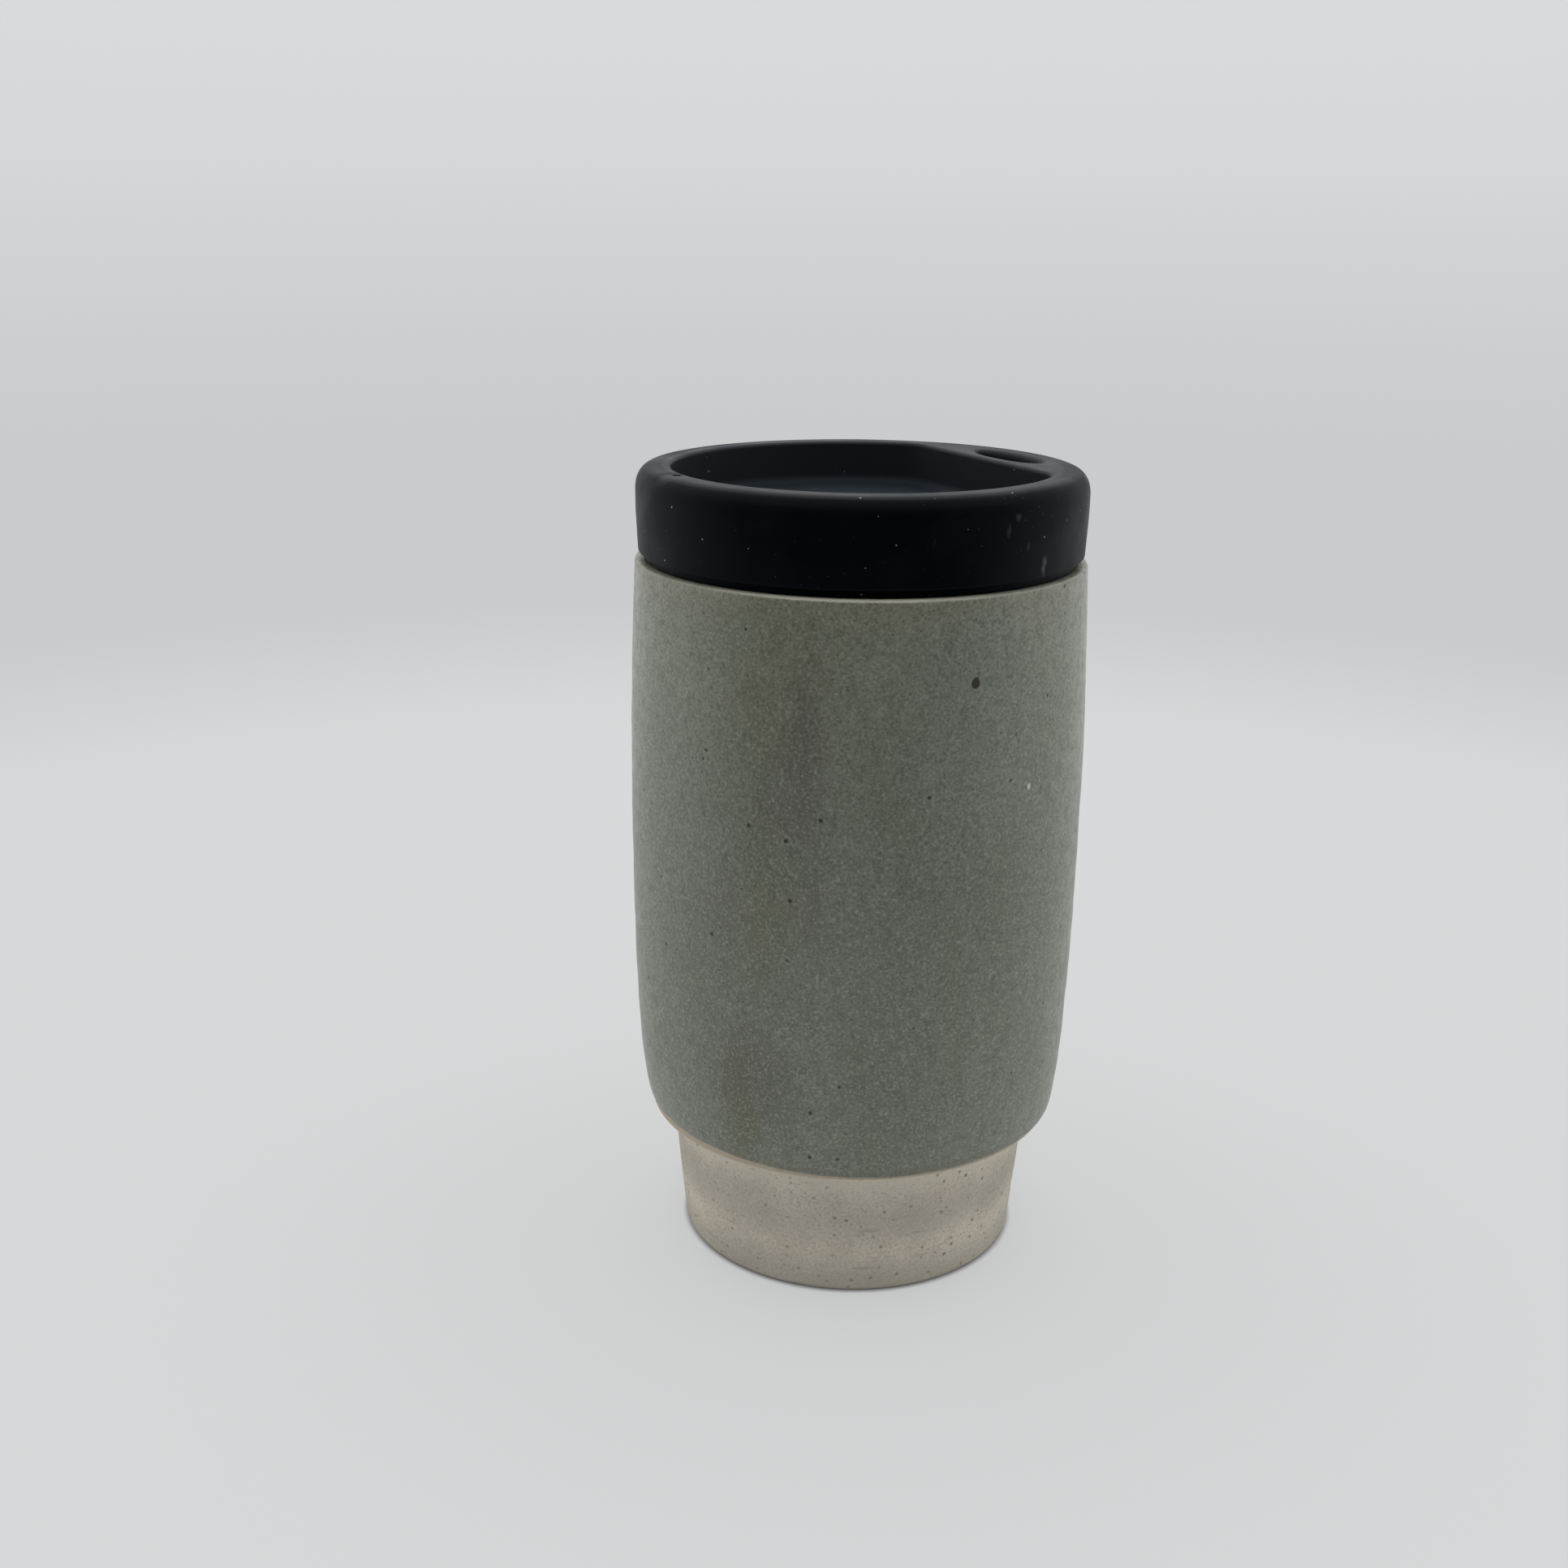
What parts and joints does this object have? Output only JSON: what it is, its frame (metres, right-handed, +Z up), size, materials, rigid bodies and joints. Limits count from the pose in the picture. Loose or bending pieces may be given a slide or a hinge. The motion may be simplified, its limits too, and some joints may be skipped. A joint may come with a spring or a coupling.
{
  "type": "ceramic travel tumbler",
  "caption": "Tall stoneware drinking tumbler with a straight unglazed foot, a satin glazed barrel and a push-in silicone lid that has a sip hole and a vent.",
  "frame": {"origin": "centre of the foot's base, on the surface that the tumbler stands on", "axes": "+Z up along the tumbler's axis of turning, +X towards the lid's sip hole"},
  "size_m": [0.093, 0.093, 0.1648],
  "materials": {
    "bare_stoneware": "matte",
    "satin_glaze": "satin",
    "liner_glaze": "satin",
    "black_silicone": "matte"
  },
  "bodies": {
    "cup": {"stoneware_body": "bare_stoneware", "outer_glaze": "satin_glaze", "liner_glaze": "liner_glaze"},
    "lid": {"lid": "black_silicone"}
  },
  "joints": [
    {"name": "lid_lift", "type": "slide", "parent": "cup", "child": "lid", "axis": [0, 0, 1], "range_m": [0, 0.08]}
  ]
}
